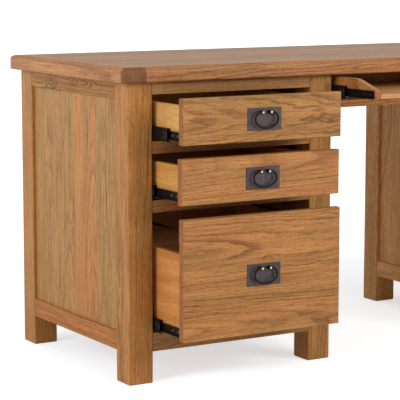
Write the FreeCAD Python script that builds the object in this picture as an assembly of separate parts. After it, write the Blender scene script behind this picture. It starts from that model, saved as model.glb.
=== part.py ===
import FreeCAD, Part
import math
import os

# Twin-pedestal oak computer desk: three drawers on the left, a drawer over a cupboard on the right and
# a keyboard tray in the kneehole. Lengths are in millimetres, +Z is up and the front faces -Y.
# While it is built, X = 0 is the left side, Y = 0 the front of the legs and Z = 0 the floor.

V = FreeCAD.Vector

# Overall sizes
desk_height = 780.0
top_thick = 38.0
pedestal_width = 594.0
pedestal_depth = 603.0
kneehole_width = 550.0
side_overhang = 25.0
front_overhang = 17.0
back_overhang = 17.0

# Desktop
end_board_width = 68.0
top_tongue_thick = 10.0
top_tongue_length = 12.0
top_upper_radius = 15.0
top_lower_radius = 4.0
top_corner_radius = 8.0

# Pedestal frames
leg_size = 67.0
leg_edge_radius = 3.5
foot_chamfer_share = 0.85
foot_clearance = 79.0
rail_thick = 22.0
rail_setback = 1.0
bottom_rail_height = 46.0
side_top_rail_height = 42.0
front_rail_height = 30.0
shallow_opening = 114.0
tenon_length = 22.0
tenon_thick = 10.0
tenon_shoulder = 5.0
panel_recess = 8.0
panel_thick = 9.0
panel_tongue = 6.0
glue_gap = 0.5

# Kneehole rail under the tray and apron at the back
kneehole_rail_thick = 18.0
kneehole_rail_depth = 85.0
kneehole_rail_drop = 68.0
apron_height = 102.0
apron_setback = 10.0

# Battens and cupboard boards
batten_thick = 20.0
batten_height = 50.0
tray_batten_height = 45.0
board_thick = 16.0
shelf_share = 0.46
shelf_gap = 2.0
cleat_size = 20.0

# Drawers
front_thick = 20.0
front_side_gap = 3.5
front_height_gap = 1.5
front_edge_radius = 3.0
box_thick = 13.0
shallow_side_drop = 18.0
deep_side_drop = 86.0
back_drop = 8.0
bottom_thick = 6.0
bottom_rise = 10.0
bottom_tongue = 6.0
first_pull = 142.0
second_pull = 136.0
third_pull = 142.0

# Ball-bearing slides
slide_length = 450.0
slide_width = 12.7
slide_rise = 21.0
slide_setback = 25.0
slide_steel = 1.2
cabinet_member_height = 45.0
cabinet_member_width = 9.5
middle_member_height = 32.0
middle_member_start = 2.2
middle_member_width = 9.3
drawer_member_height = 21.0
drawer_member_width = 8.1
cage_length = 120.0
cage_width = 5.4
cage_gap = 0.2

# Share of a drawer's way that its middle slide members make, and how far back they sit when it is shut
first_middle_share = 0.65
middle_share = 0.5
second_nest = 41.0
third_nest = 18.0
tray_nest = 27.0

# Bars for hanging files
bar_inset = 10.8
bar_radius = 3.0
bar_drop = 35.5
bar_flange_radius = 7.0
bar_flange_thick = 4.0
file_back_rise = 12.0

# Keyboard tray
tray_pull = 174.0
tray_depth = 380.0
tray_board_thick = 12.0
tray_underside_drop = 52.0
tray_slide_length = 350.0
tray_slide_setback = 8.0
tray_slide_rise = 9.5
tray_edge_radius = 2.0
cheek_thick = 15.0
cheek_top_drop = 6.5
cheek_front_height = 8.5
cheek_front_setback = 2.0
cheek_slope_length = 84.0
cheek_nose_radius = 6.0
cheek_bend_radius = 80.0

# Bail handles on the drawers
plate_width = 96.0
plate_height = 54.0
plate_thick = 2.5
plate_chamfer = 1.0
plate_lowering = 1.0
post_half_spacing = 11.75
post_radius = 4.4
post_drop = 10.5
pivot_standoff = 9.0
bail_radius = 2.6
bail_half_width = 32.4
bail_drop = 38.0
bail_shoulder = 16.0
bail_turn_degrees = 50.0
pin_fit = 0.08

# Narrower bail handle on the cupboard door
door_plate_width = 50.0
door_plate_height = 60.0
door_post_half_spacing = 7.5
door_bail_half_width = 21.0
door_bail_drop = 36.0
door_bail_shoulder = 8.5

# Cupboard door, its hinges and its catch
door_thick = 20.0
door_gap = 3.5
door_frame_width = 62.0
door_panel_recess = 7.0
door_handle_drop = 95.0
hinge_height = 60.0
hinge_end_distance = 70.0
hinge_leaf_thick = 1.5
hinge_leaf_width = 17.0
hinge_knuckle_radius = 3.0
hinge_pin_radius = 1.25
hinge_clearance = 0.3
catch_depth = 14.0
catch_height = 12.0
catch_length = 40.0

# Brackets that hold the desktop on the pedestals, and their screws
bracket_leg = 28.0
bracket_width = 20.0
bracket_steel = 2.0
bracket_distance = 70.0
bracket_hole_share = 0.6
screw_radius = 2.0
screw_length = 14.0
screw_head_radius = 3.8
screw_head_height = 2.2

# Extra length that lets a cutter run clear of what it cuts, and the slack in finding an edge
overrun = 20.0
edge_slack = 0.01

# Places worked out from the sizes above
under_top = desk_height - top_thick
desk_run = 2 * pedestal_width + kneehole_width
right_start = pedestal_width + kneehole_width
opening_right = pedestal_width - leg_size
bottom_rail_top = foot_clearance + bottom_rail_height
top_rail_bottom = under_top - front_rail_height
first_bottom = top_rail_bottom - shallow_opening
second_top = first_bottom - front_rail_height
second_bottom = second_top - shallow_opening
third_top = second_bottom - front_rail_height
tray_underside = under_top - tray_underside_drop
rail_back = rail_setback + rail_thick

# The middle of the whole footprint is the origin of the finished part
handle_reach = plate_thick + pivot_standoff + post_radius
front_reach = max(tray_pull, front_overhang, max(first_pull, second_pull, third_pull) + handle_reach)
back_reach = pedestal_depth + back_overhang
to_origin = V(-desk_run / 2, (front_reach - back_reach) / 2, 0)


def block(x, y, z):
    """A box from its low and high place along each axis."""
    return Part.makeBox(x[1] - x[0], y[1] - y[0], z[1] - z[0], V(x[0], y[0], z[0]))


def grown(span, margin):
    return (span[0] - margin, span[1] + margin)


def rod(start, direction, length, radius):
    return Part.makeCylinder(radius, length, start, direction)


def moved(shape, x=0, y=0, z=0):
    copy = shape.copy()
    copy.translate(V(x, y, z))
    return copy


def across(shape, middle_x):
    """The mirror image of a shape on the other side of an upright plane."""
    return shape.mirror(V(middle_x, 0, 0), V(1, 0, 0))


def cut_all(shape, cutters):
    for cutter in cutters:
        shape = shape.cut(cutter)
    return shape


def joined(shape, pieces):
    for piece in pieces:
        shape = shape.fuse(piece)
    return shape.removeSplitter()


def edges_where(shape, test):
    return [edge for edge in shape.Edges if test(edge)]


def is_upright(edge):
    box = edge.BoundBox
    return box.ZLength > box.XLength + box.YLength


def lies_at(edge, axis, place):
    """True where the whole edge lies at this place along X, Y or Z."""
    box = edge.BoundBox
    low = (box.XMin, box.YMin, box.ZMin)[axis]
    high = (box.XMax, box.YMax, box.ZMax)[axis]
    return abs(low - place) < edge_slack and abs(high - place) < edge_slack


def save(node, solids):
    """Writes one sub-part, shifted to the finished part's origin."""
    shape = solids[0] if len(solids) == 1 else Part.makeCompound(solids)
    shape = shape.copy()
    shape.translate(to_origin)
    shape.exportStep("parts/" + node + ".step")


# Frames: rails and panels are drawn with X along the frame and Y inwards from its outer face

rail_span = (rail_setback, rail_back)
tenon_span = grown(rail_span, (tenon_thick - rail_thick) / 2)
panel_span = (panel_recess, panel_recess + panel_thick)


def tenon(run, depth, z, extra=0):
    """The tenons at both ends of a run, in one bar."""
    return block(grown(run, tenon_length + extra), depth, grown(z, -tenon_shoulder))


def rail(run, z):
    return joined(block(run, rail_span, z), [tenon(run, tenon_span, z)])


def rail_mortise(run, z):
    return tenon(run, tenon_span, z, glue_gap)


def panel_pocket(run, depth, z):
    """A slab that leaves the grooves a panel's edges stand in."""
    reach = panel_tongue + glue_gap
    return block(grown(run, reach), depth, grown(z, reach))


def framed_panel(run):
    """Top rail, bottom rail and panel between two legs, and what they take out of the legs."""
    heights = ((foot_clearance, bottom_rail_top), (under_top - side_top_rail_height, under_top))
    window = (heights[0][1], heights[1][0])
    pocket = panel_pocket(run, panel_span, window)
    rails = [rail(run, z).cut(pocket) for z in heights]
    panel = block(grown(run, panel_tongue), panel_span, grown(window, panel_tongue))
    cutters = [rail_mortise(run, z) for z in heights] + [pocket]
    return rails, panel, cutters


def to_side(shape):
    """Turns what is drawn along X into the left side frame, which runs along Y."""
    return shape.mirror(V(0, 0, 0), V(1, -1, 0))


def to_back(shape):
    return shape.mirror(V(0, pedestal_depth / 2, 0), V(0, 1, 0))


def to_inner(shape):
    return across(shape, pedestal_width / 2)


def both_sides(shapes):
    return shapes + [to_inner(shape) for shape in shapes]


def leg(x, y):
    post = block((x, x + leg_size), (y, y + leg_size), (0, under_top))
    post = post.makeFillet(leg_edge_radius, edges_where(post, is_upright))
    feet = edges_where(post, lambda edge: lies_at(edge, 2, 0))
    return post.makeChamfer(leg_edge_radius * foot_chamfer_share, feet)


def kneehole_rail():
    """The flat rail under the tray, and the mortises for it."""
    run = (pedestal_width, right_start)
    top = under_top - kneehole_rail_drop
    z = (top - kneehole_rail_thick, top)
    tenon_depth = (rail_setback + tenon_shoulder, leg_size - tenon_thick)
    body = block(run, (rail_setback, rail_setback + kneehole_rail_depth), z)
    return joined(body, [tenon(run, tenon_depth, z)]), tenon(run, tenon_depth, z, glue_gap)


def apron():
    """The upright board across the back of the kneehole, and the mortises for it."""
    run = (pedestal_width, right_start)
    back = pedestal_depth - apron_setback
    depth = (back - rail_thick, back)
    z = (under_top - apron_height, under_top)
    tenon_depth = grown(depth, (tenon_thick - rail_thick) / 2)
    return joined(block(run, depth, z), [tenon(run, tenon_depth, z)]), tenon(run, tenon_depth, z, glue_gap)


def pedestal(side, start, front_rail_heights, kneehole_mortises, screw_holes):
    """Legs, frames and front rails of one pedestal. Returns its back panel."""
    wide_run = (leg_size, opening_right)
    side_rails, side_panel, side_cutters = framed_panel((leg_size, pedestal_depth - leg_size))
    back_rails, back_panel, back_cutters = framed_panel(wide_run)
    cutters = both_sides([to_side(shape) for shape in side_cutters])
    cutters += [to_back(shape) for shape in back_cutters]
    cutters += [rail_mortise(wide_run, z) for z in front_rail_heights]
    cutters += [moved(shape, x=-start) for shape in kneehole_mortises]
    far = (pedestal_width - leg_size, pedestal_depth - leg_size)
    legs = [cut_all(leg(x, y), cutters) for x in (0, far[0]) for y in (0, far[1])]
    rails = both_sides([to_side(shape) for shape in side_rails])
    rails = [cut_all(shape, screw_holes) for shape in rails]
    panels = both_sides([to_side(side_panel)])
    cross_rails = [rail(wide_run, z) for z in front_rail_heights] + [to_back(shape) for shape in back_rails]
    pieces = {"legs": legs, "side_rails": rails, "side_panels": panels, "cross_rails": cross_rails}
    for name, solids in pieces.items():
        save(side + "_" + name, [moved(shape, x=start) for shape in solids])
    return moved(to_back(back_panel), x=start)


def rounded_rims(slab, along_x):
    """The desktop's slab with two opposite rims rounded, more above than below."""
    for radius, height in ((top_lower_radius, under_top), (top_upper_radius, desk_height)):
        rims = edges_where(slab, lambda edge: lies_at(edge, 2, height))
        rims = [edge for edge in rims if (edge.BoundBox.XLength > edge.BoundBox.YLength) == along_x]
        slab = slab.makeFillet(radius, rims)
    return slab


def desktop(screw_holes):
    """The planked field and the boards across its ends, cut from one slab with a rounded rim."""
    x = (-side_overhang, desk_run + side_overhang)
    y = (-front_overhang, back_reach)
    slab = block(x, y, (under_top, desk_height))
    plan = slab.makeFillet(top_corner_radius, edges_where(slab, is_upright))
    slab = plan.common(rounded_rims(slab, True)).common(rounded_rims(slab, False))
    joints = grown(x, -end_board_width)
    tongue_y = grown(y, -end_board_width)
    tongue_z = grown((under_top, desk_height), (top_tongue_thick - top_thick) / 2)
    tongue = block(grown(joints, top_tongue_length), tongue_y, tongue_z)
    groove = block(grown(joints, top_tongue_length + glue_gap), tongue_y, tongue_z)
    far_y = grown(y, overrun)
    far_z = grown((under_top, desk_height), overrun)
    field = joined(slab.common(block(joints, far_y, far_z)), [tongue])
    ends = []
    for piece in ((x[0] - overrun, joints[0]), (joints[1], x[1] + overrun)):
        ends.append(slab.common(block(piece, far_y, far_z)).cut(groove))
    save("desktop_boards", [cut_all(field, screw_holes)])
    save("desktop_end_boards", [cut_all(end, screw_holes) for end in ends])


# Brackets: drawn with X = 0 on a side rail's inner face and Z = 0 under the desktop


def bracket():
    """A steel angle, its two screws, and the holes for the screws' shanks."""
    width = (0, bracket_width)
    steel = block((0, bracket_leg), width, (-bracket_leg, 0))
    inside = (bracket_steel, bracket_leg + overrun)
    hollow = block(inside, grown(width, overrun), (-inside[1], -inside[0]))
    reach = bracket_leg * bracket_hole_share
    seats = [
        (V(reach, bracket_width / 2, -bracket_steel), V(0, 0, 1)),
        (V(bracket_steel, bracket_width / 2, -reach), V(-1, 0, 0)),
    ]
    screws = []
    holes = []
    for seat, direction in seats:
        head = rod(seat, direction.negative(), screw_head_height, screw_head_radius)
        screws.append(joined(head, [rod(seat, direction, screw_length, screw_radius)]))
        holes.append(rod(seat, direction, screw_length + glue_gap, screw_radius))
    return [cut_all(steel.cut(hollow), holes)], screws, holes


def placed_brackets():
    """Brackets, screws and screw holes of one pedestal, two along each side rail."""
    groups = []
    for shapes in bracket():
        near = [moved(shape, rail_back, leg_size + bracket_distance, under_top) for shape in shapes]
        near += [to_back(shape) for shape in near]
        groups.append(both_sides(near))
    return groups


def in_both_pedestals(shapes):
    return shapes + [moved(shape, x=right_start) for shape in shapes]


# Slides: drawn for the left side, with X = 0 on the cabinet, Y = 0 at the front end and Z = 0 mid-height


def channel(x, height, length, web_high):
    """A folded steel channel. Its web is at the low or the high end of x."""
    half = height / 2
    outer = block(x, (0, length), (-half, half))
    inside = (x[0] - overrun, x[1] - slide_steel) if web_high else (x[0] + slide_steel, x[1] + overrun)
    return outer.cut(block(inside, grown((0, length), overrun), grown((-half, half), -slide_steel)))


def middle_members(length):
    """The middle channel with the ball cages that run outside and inside its flanges."""
    x = (middle_member_start, middle_member_start + middle_member_width)
    outer_z = (middle_member_height / 2, cabinet_member_height / 2 - slide_steel - cage_gap)
    inner_z = (drawer_member_height / 2 + cage_gap, middle_member_height / 2 - slide_steel)
    outer_start = x[0] + slide_steel
    inner_start = slide_width - drawer_member_width
    outer = block((outer_start, outer_start + cage_width), (length - cage_length, length), outer_z)
    inner = block((inner_start, inner_start + cage_width), (0, cage_length), inner_z)
    member = channel(x, middle_member_height, length, False)
    return [member] + [piece for cage in (outer, inner) for piece in (cage, cage.mirror(V(0, 0, 0), V(0, 0, 1)))]


def slide_pair(shapes, left_x, right_x, y, z):
    """Slide pieces at the left face and their mirror images at the right face."""
    left = [moved(shape, left_x, y, z) for shape in shapes]
    return left + [across(shape, (left_x + right_x) / 2) for shape in left]


def save_slides(name, left_x, right_x, z, length, setback, pull, share, nest):
    """Saves the moving members of a pair of slides and returns the members on the cabinet."""
    fixed = channel((0, cabinet_member_width), cabinet_member_height, length, False)
    running = channel((slide_width - drawer_member_width, slide_width), drawer_member_height, length, True)
    middle_y = setback + nest - pull * share
    save(name + "_slides", slide_pair([running], left_x, right_x, setback - pull, z))
    save(name + "_middle_slides", slide_pair(middle_members(length), left_x, right_x, middle_y, z))
    return slide_pair([fixed], left_x, right_x, setback, z)


# Handles: drawn with Y = 0 on the face they stand on, X = 0 at the middle and Z = 0 at the pivot


def handle_plate(width, height):
    plate = block((-width / 2, width / 2), (-plate_thick, 0), (post_drop - height, post_drop))
    return plate.makeChamfer(plate_chamfer, edges_where(plate, lambda edge: lies_at(edge, 1, -plate_thick)))


def handle_posts(half_spacing):
    """Two round-headed posts, each drilled from its outer side for the bail's end."""
    pivot = V(half_spacing, -plate_thick - pivot_standoff, 0)
    post = rod(V(half_spacing, -plate_thick, 0), V(0, -1, 0), pivot_standoff, post_radius)
    post = joined(post, [Part.makeSphere(post_radius, pivot)])
    hole = rod(pivot - V(bail_radius / 2, 0, 0), V(1, 0, 0), 2 * post_radius, bail_radius + pin_fit)
    post = post.cut(hole)
    return [post, across(post, 0)]


def arc(x, z, radius, start, end):
    """An arc in the plane of the bail. Its angles are in degrees from +X."""
    points = []
    for angle in (start, (start + end) / 2, end):
        turn = math.radians(angle)
        points.append(V(x + radius * math.cos(turn), 0, z + radius * math.sin(turn)))
    return Part.Arc(*points).toShape()


def bail(half_spacing, half_width, drop, shoulder):
    """The bail: pins into the posts, round shoulders, lower corners and a flatter arc at the bottom."""
    sine = math.sin(math.radians(bail_turn_degrees))
    cosine = math.cos(math.radians(bail_turn_degrees))
    # Radii that make the lower corner and the bottom arc tangent to each other
    slope = (1 - sine) / cosine
    corner = (drop - shoulder - half_width * slope) / (sine - (1 - cosine) * slope)
    base = (half_width - corner * (1 - cosine)) / cosine
    start = V(half_spacing, 0, 0)
    right = [
        Part.LineSegment(start, V(half_width - shoulder, 0, 0)).toShape(),
        arc(half_width - shoulder, -shoulder, shoulder, 90, 0),
        arc(half_width - corner, -shoulder, corner, 0, -bail_turn_degrees),
    ]
    bottom = arc(0, base - drop, base, -bail_turn_degrees, bail_turn_degrees - 180)
    path = Part.Wire(right + [bottom] + [across(edge, 0) for edge in reversed(right)])
    section = Part.Wire(Part.makeCircle(bail_radius, start, V(1, 0, 0)))
    return moved(path.makePipeShell([section], True, False), y=-plate_thick - pivot_standoff)


def save_handle(prefix, x, face_y, z, sizes):
    """Plate, posts and bail of one handle, with the middle of its plate at this place."""
    place = (x, face_y, z + sizes["height"] / 2 - post_drop)
    spacing = sizes["half_spacing"]
    pull = bail(spacing, sizes["half_width"], sizes["drop"], sizes["shoulder"])
    save(prefix + "_handle_plate", [moved(handle_plate(sizes["width"], sizes["height"]), *place)])
    save(prefix + "_handle_posts", [moved(post, *place) for post in handle_posts(spacing)])
    save(prefix + "_bail", [moved(pull, *place)])


drawer_handle = {
    "width": plate_width,
    "height": plate_height,
    "half_spacing": post_half_spacing,
    "half_width": bail_half_width,
    "drop": bail_drop,
    "shoulder": bail_shoulder,
}
door_handle = {
    "width": door_plate_width,
    "height": door_plate_height,
    "half_spacing": door_post_half_spacing,
    "half_width": door_bail_half_width,
    "drop": door_bail_drop,
    "shoulder": door_bail_shoulder,
}


def eased_front(x, y, z):
    """A board whose outer face has a rounded rim."""
    board = block(x, y, z)
    return board.makeFillet(front_edge_radius, edges_where(board, lambda edge: lies_at(edge, 1, y[0])))


def drawer(name, start, opening, side_drop, pull, share=middle_share, nest=0, holds_files=False):
    """One drawer in an opening of a pedestal, pulled out by pull. Returns its cabinet slide members."""
    left = start + leg_size
    right = start + opening_right
    centre = (left + right) / 2
    front_x = grown((left, right), -front_side_gap)
    front_z = grown(opening, -front_height_gap)
    front_y = (-pull, front_thick - pull)
    slide_z = opening[0] + slide_rise
    low = slide_z - drawer_member_height / 2 - slide_steel
    side_z = (low, front_z[1] - side_drop)
    bar_z = front_z[1] - bar_drop
    back_top = bar_z + file_back_rise if holds_files else side_z[1] - back_drop
    box_y = (front_y[1], front_y[1] + slide_length)
    inside_x = grown((left, right), -slide_width - box_thick)
    inside_y = (box_y[0], box_y[1] - box_thick)
    bottom_low = low + bottom_rise
    bottom_edges = (grown(inside_x, bottom_tongue), grown(inside_y, bottom_tongue))
    bottom = block(*bottom_edges, (bottom_low, bottom_low + bottom_thick))
    side = block((left + slide_width, inside_x[0]), box_y, side_z).cut(bottom)
    back = block(inside_x, (inside_y[1], box_y[1]), (low, back_top)).cut(bottom)
    save(name + "_front", [eased_front(front_x, front_y, front_z).cut(bottom)])
    save(name + "_box", [side, across(side, centre), back, bottom])
    save_handle(name, centre, front_y[0], (front_z[0] + front_z[1]) / 2 - plate_lowering, drawer_handle)
    if holds_files:
        save("file_bars", [file_bar(x, inside_y, bar_z) for x in grown(inside_x, -bar_inset)])
    return save_slides(name, left, right, slide_z, slide_length, slide_setback, pull, share, nest)


def file_bar(x, y, z):
    """A bar from a drawer's front to its back, with a flange at each end."""
    bar = rod(V(x, y[0], z), V(0, 1, 0), y[1] - y[0], bar_radius)
    ends = (y[0], y[1] - bar_flange_thick)
    return joined(bar, [rod(V(x, end, z), V(0, 1, 0), bar_flange_thick, bar_flange_radius) for end in ends])


def cheek(x, back):
    """A side of the tray. Its top slopes down to a rounded nose at the front."""
    low = tray_underside
    high = under_top - cheek_top_drop
    front = cheek_front_setback - tray_pull
    nose_z = low + tray_board_thick + cheek_front_height
    slope_end = front + cheek_slope_length
    outline = [(front, low), (front, nose_z), (slope_end, high), (back, high), (back, low), (front, low)]
    face = Part.Face(Part.makePolygon([V(x[0], y, z) for y, z in outline]))
    board = face.extrude(V(x[1] - x[0], 0, 0))
    bend = edges_where(board, lambda edge: lies_at(edge, 1, slope_end) and lies_at(edge, 2, high))
    board = board.makeFillet(cheek_bend_radius, bend)
    nose = edges_where(board, lambda edge: lies_at(edge, 1, front) and lies_at(edge, 2, nose_z))
    return board.makeFillet(cheek_nose_radius, nose)


def tray():
    """The keyboard tray: a board between two cheeks and a back strip. Returns its cabinet slide members."""
    run = (pedestal_width, right_start)
    cheek_x = (pedestal_width + slide_width, pedestal_width + slide_width + cheek_thick)
    between = grown(run, -slide_width - cheek_thick)
    front = -tray_pull
    back = tray_depth - tray_pull
    board = block(between, (front, back - box_thick), (tray_underside, tray_underside + tray_board_thick))
    board = board.makeFillet(tray_edge_radius, edges_where(board, lambda edge: lies_at(edge, 1, front)))
    left_cheek = cheek(cheek_x, back)
    strip = block(between, (back - box_thick, back), (tray_underside, under_top - cheek_top_drop))
    save("tray_board", [board])
    save("tray_sides", [left_cheek, across(left_cheek, desk_run / 2), strip])
    slide = (tray_underside + tray_slide_rise, tray_slide_length, tray_slide_setback)
    return save_slides("tray", *run, *slide, tray_pull, middle_share, tray_nest)


def battens():
    """Battens that carry the slides, the cupboard's floor and its shelf."""
    run = (leg_size, pedestal_depth - leg_size)
    inner_faces = (leg_size - batten_thick, leg_size)

    def slide_batten(opening_bottom):
        height = opening_bottom + slide_rise
        return block(inner_faces, run, grown((height, height), batten_height / 2))

    floor_low = bottom_rail_top - board_thick
    left = [slide_batten(bottom) for bottom in (first_bottom, second_bottom, bottom_rail_top)]
    right = [
        slide_batten(first_bottom),
        block(inner_faces, run, (shelf_low - cleat_size, shelf_low)),
        block((rail_back, rail_back + cleat_size), run, (floor_low - cleat_size, floor_low)),
    ]
    strip_top = under_top - side_top_rail_height
    recess = (pedestal_width - panel_recess, pedestal_width)
    strip = block(recess, run, (strip_top - tray_batten_height, strip_top))
    pieces = both_sides(left) + [moved(piece, x=right_start) for piece in both_sides(right)]
    save("battens", pieces + [strip, across(strip, desk_run / 2)])


def cupboard():
    """The cupboard's floor, notched round the legs, and its shelf."""
    floor_z = (bottom_rail_top - board_thick, bottom_rail_top)
    floor = block(
        (rail_back, pedestal_width - rail_back),
        (rail_back, pedestal_depth - rail_back),
        floor_z,
    )
    for x in ((0, leg_size), (pedestal_width - leg_size, pedestal_width)):
        for y in ((0, leg_size), (pedestal_depth - leg_size, pedestal_depth)):
            floor = floor.cut(block(x, y, floor_z))
    wall = panel_recess + panel_thick + shelf_gap
    shelf_y = grown((leg_size, pedestal_depth - leg_size), -shelf_gap)
    shelf = block((wall, pedestal_width - wall), shelf_y, (shelf_low, shelf_low + board_thick))
    save("cupboard_boards", [moved(floor, x=right_start), moved(shelf, x=right_start)])


def door():
    """The framed cupboard door, hung on the outer leg, with its handle, hinges and catch."""
    x = grown((right_start + leg_size, right_start + opening_right), -door_gap)
    z = grown((bottom_rail_top, second_top), -front_height_gap)
    y = (0, door_thick)
    inner_x = grown(x, -door_frame_width)
    inner_z = grown(z, -door_frame_width)
    panel_depth = (door_panel_recess, door_panel_recess + panel_thick)
    frame = eased_front(x, y, z).cut(panel_pocket(inner_x, panel_depth, inner_z))
    far_y = grown(y, overrun)
    stiles = [frame.common(block(span, far_y, z)) for span in ((x[0], inner_x[0]), (inner_x[1], x[1]))]
    rails = [frame.common(block(inner_x, far_y, span)) for span in ((z[0], inner_z[0]), (inner_z[1], z[1]))]
    save("door_frame", stiles + rails)
    save("door_panel", [block(grown(inner_x, panel_tongue), panel_depth, grown(inner_z, panel_tongue))])
    save_handle("door", (x[0] + inner_x[0]) / 2, y[0], z[1] - door_handle_drop, door_handle)
    hinges(x[1], z)
    catch_x = (inner_x[0] - catch_length, inner_x[0])
    catch_z = grown((second_top, second_top), catch_height / 2)
    save("door_catch", [block(catch_x, (rail_back, rail_back + catch_depth), catch_z)])


def hinges(door_edge, door_z):
    """Butt hinges: a leaf on the leg, a leaf on the door's edge and a knuckle in front of the gap."""
    leg_face = right_start + opening_right
    axis_x = (leg_face + door_edge) / 2
    axis_y = -hinge_knuckle_radius - hinge_clearance
    fixed_x = (leg_face - hinge_leaf_thick, leg_face)
    moving_x = (door_edge, door_edge + hinge_leaf_thick)
    fixed = []
    moving = []

    def barrel(z, radius):
        return rod(V(axis_x, axis_y, z[0]), V(0, 0, 1), z[1] - z[0], radius)

    for low in (door_z[0] + hinge_end_distance, door_z[1] - hinge_end_distance - hinge_height):
        z = (low, low + hinge_height)
        middle = grown(z, -hinge_height / 3)
        pieces = [barrel(z, hinge_pin_radius)]
        for span in ((z[0], middle[0]), (middle[1], z[1])):
            pieces += [barrel(span, hinge_knuckle_radius), block(fixed_x, (axis_y, 0), span)]
        fixed.append(joined(block(fixed_x, (0, hinge_leaf_width), z), pieces))
        middle = grown(middle, -hinge_clearance)
        leaf = block(moving_x, (0, hinge_leaf_width), z)
        leaf = joined(leaf, [barrel(middle, hinge_knuckle_radius), block(moving_x, (axis_y, 0), middle)])
        moving.append(leaf.cut(barrel(z, hinge_pin_radius + pin_fit)))
    save("cabinet_hinge_leaves", fixed)
    save("door_hinge_leaves", moving)


shelf_low = bottom_rail_top + (second_top - bottom_rail_top) * shelf_share
shared_rails = [(top_rail_bottom, under_top), (second_top, first_bottom), (foot_clearance, bottom_rail_top)]
left_rails = shared_rails + [(third_top, second_bottom)]

os.makedirs("parts", exist_ok=True)

rail_board, rail_mortises = kneehole_rail()
apron_board, apron_mortises = apron()
mortises = [rail_mortises, apron_mortises]
angles, screws, screw_holes = placed_brackets()

left_back = pedestal("left", 0, left_rails, mortises, screw_holes)
right_back = pedestal("right", right_start, shared_rails, mortises, screw_holes)
save("back_panels", [left_back, right_back])
save("kneehole_rail", [rail_board])
save("kneehole_apron", [apron_board])
save("brackets", in_both_pedestals(angles))
save("bracket_screws", in_both_pedestals(screws))
desktop(in_both_pedestals(screw_holes))
battens()
cupboard()
door()

first_opening = (first_bottom, top_rail_bottom)
cabinet_slides = drawer("drawer_1", 0, first_opening, shallow_side_drop, first_pull, first_middle_share)
cabinet_slides += drawer(
    "drawer_2", 0, (second_bottom, second_top), shallow_side_drop, second_pull, nest=second_nest
)
cabinet_slides += drawer(
    "drawer_3",
    0,
    (bottom_rail_top, third_top),
    deep_side_drop,
    third_pull,
    nest=third_nest,
    holds_files=True,
)
cabinet_slides += drawer("right_drawer", right_start, first_opening, shallow_side_drop, 0)
cabinet_slides += tray()
save("cabinet_slides", cabinet_slides)
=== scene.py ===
import math

import bmesh
import bpy
from mathutils import Matrix, Vector


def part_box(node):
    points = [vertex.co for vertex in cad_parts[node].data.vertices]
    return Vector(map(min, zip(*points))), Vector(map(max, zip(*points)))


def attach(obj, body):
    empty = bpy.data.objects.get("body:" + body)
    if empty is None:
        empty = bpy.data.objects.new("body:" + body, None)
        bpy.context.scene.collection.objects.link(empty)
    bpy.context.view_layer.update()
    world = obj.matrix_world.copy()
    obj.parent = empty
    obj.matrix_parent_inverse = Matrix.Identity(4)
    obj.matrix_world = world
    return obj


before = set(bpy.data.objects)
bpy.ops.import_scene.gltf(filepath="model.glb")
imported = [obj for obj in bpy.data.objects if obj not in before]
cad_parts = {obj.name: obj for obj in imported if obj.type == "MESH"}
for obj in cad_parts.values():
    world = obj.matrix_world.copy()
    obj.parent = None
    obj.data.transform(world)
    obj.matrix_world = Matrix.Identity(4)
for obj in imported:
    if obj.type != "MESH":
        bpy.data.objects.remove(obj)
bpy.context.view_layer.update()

# Oak computer desk, in metres. Wood patterns and small parts are given in millimetres.
MM = 0.001
DRAWERS = ("drawer_1", "drawer_2", "drawer_3", "right_drawer")
HANDLES = DRAWERS + ("door",)
RUNNERS = DRAWERS + ("tray",)

# Camera: well back, to the left of the desk and a little above its top
CAMERA_PLACE = (-2.8241, -3.8454, 1.0435)
CAMERA_TURN_DEGREES = (81.93, 0.0, -30.76)
CAMERA_LENS_MM = 155.25

# Studio lamps: place, what each points at, its width in metres and its watts
LAMPS = {
    "front_right_softbox": ((2.3, -4.35, 2.5), (-0.4, -0.2, 0.35), 1.5, 92.0),
    "left_softbox": ((-4.6, -0.9, 1.9), (-0.8, 0.1, 0.4), 2.4, 88.0),
    "high_front_softbox": ((0.2, -4.2, 3.6), (-0.2, 0.0, 0.5), 1.5, 54.0),
    "back_left_softbox": ((-2.6, 4.2, 1.3), (0.3, -0.1, 0.4), 1.5, 24.0),
}
ROOM_LIGHT = 0.34

# Floor: its side in metres, its colour to the light and to the eye, and the tint of its own glow
FLOOR_SIZE = 60.0
FLOOR_LIT = "#F2F2F2"
FLOOR_SEEN = "#E6EEF3"
FLOOR_GLOW_TINT = "#FDFEFF"
FLOOR_ROUGHNESS = 0.9

# What the floor sends to the eye by itself near the desk and far from it, and the distances in metres
# between which the one turns into the other
FLOOR_GLOW = (0.62, 1.03)
GLOW_FROM_TO = (1.2, 2.7)


def corners_mm(node):
    low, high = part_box(node)
    return low / MM, high / MM


# Camera and studio


def set_camera():
    camera = bpy.data.objects.new("camera", bpy.data.cameras.new("camera"))
    camera.data.lens = CAMERA_LENS_MM
    camera.location = CAMERA_PLACE
    camera.rotation_euler = [math.radians(turn) for turn in CAMERA_TURN_DEGREES]
    bpy.context.scene.collection.objects.link(camera)
    bpy.context.scene.camera = camera


def set_lamps():
    for name, (place, target, width, watts) in LAMPS.items():
        lamp = bpy.data.objects.new(name, bpy.data.lights.new(name, "AREA"))
        lamp.data.size = width
        lamp.data.energy = watts
        lamp.location = place
        lamp.rotation_euler = (Vector(target) - Vector(place)).to_track_quat("-Z", "Y").to_euler()
        bpy.context.scene.collection.objects.link(lamp)


def colour(code):
    """A linear colour from its sRGB hex code."""
    channels = [int(code[start:start + 2], 16) / 255 for start in (1, 3, 5)]
    return tuple(c / 12.92 if c <= 0.04045 else ((c + 0.055) / 1.055) ** 2.4 for c in channels) + (1.0,)


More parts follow.
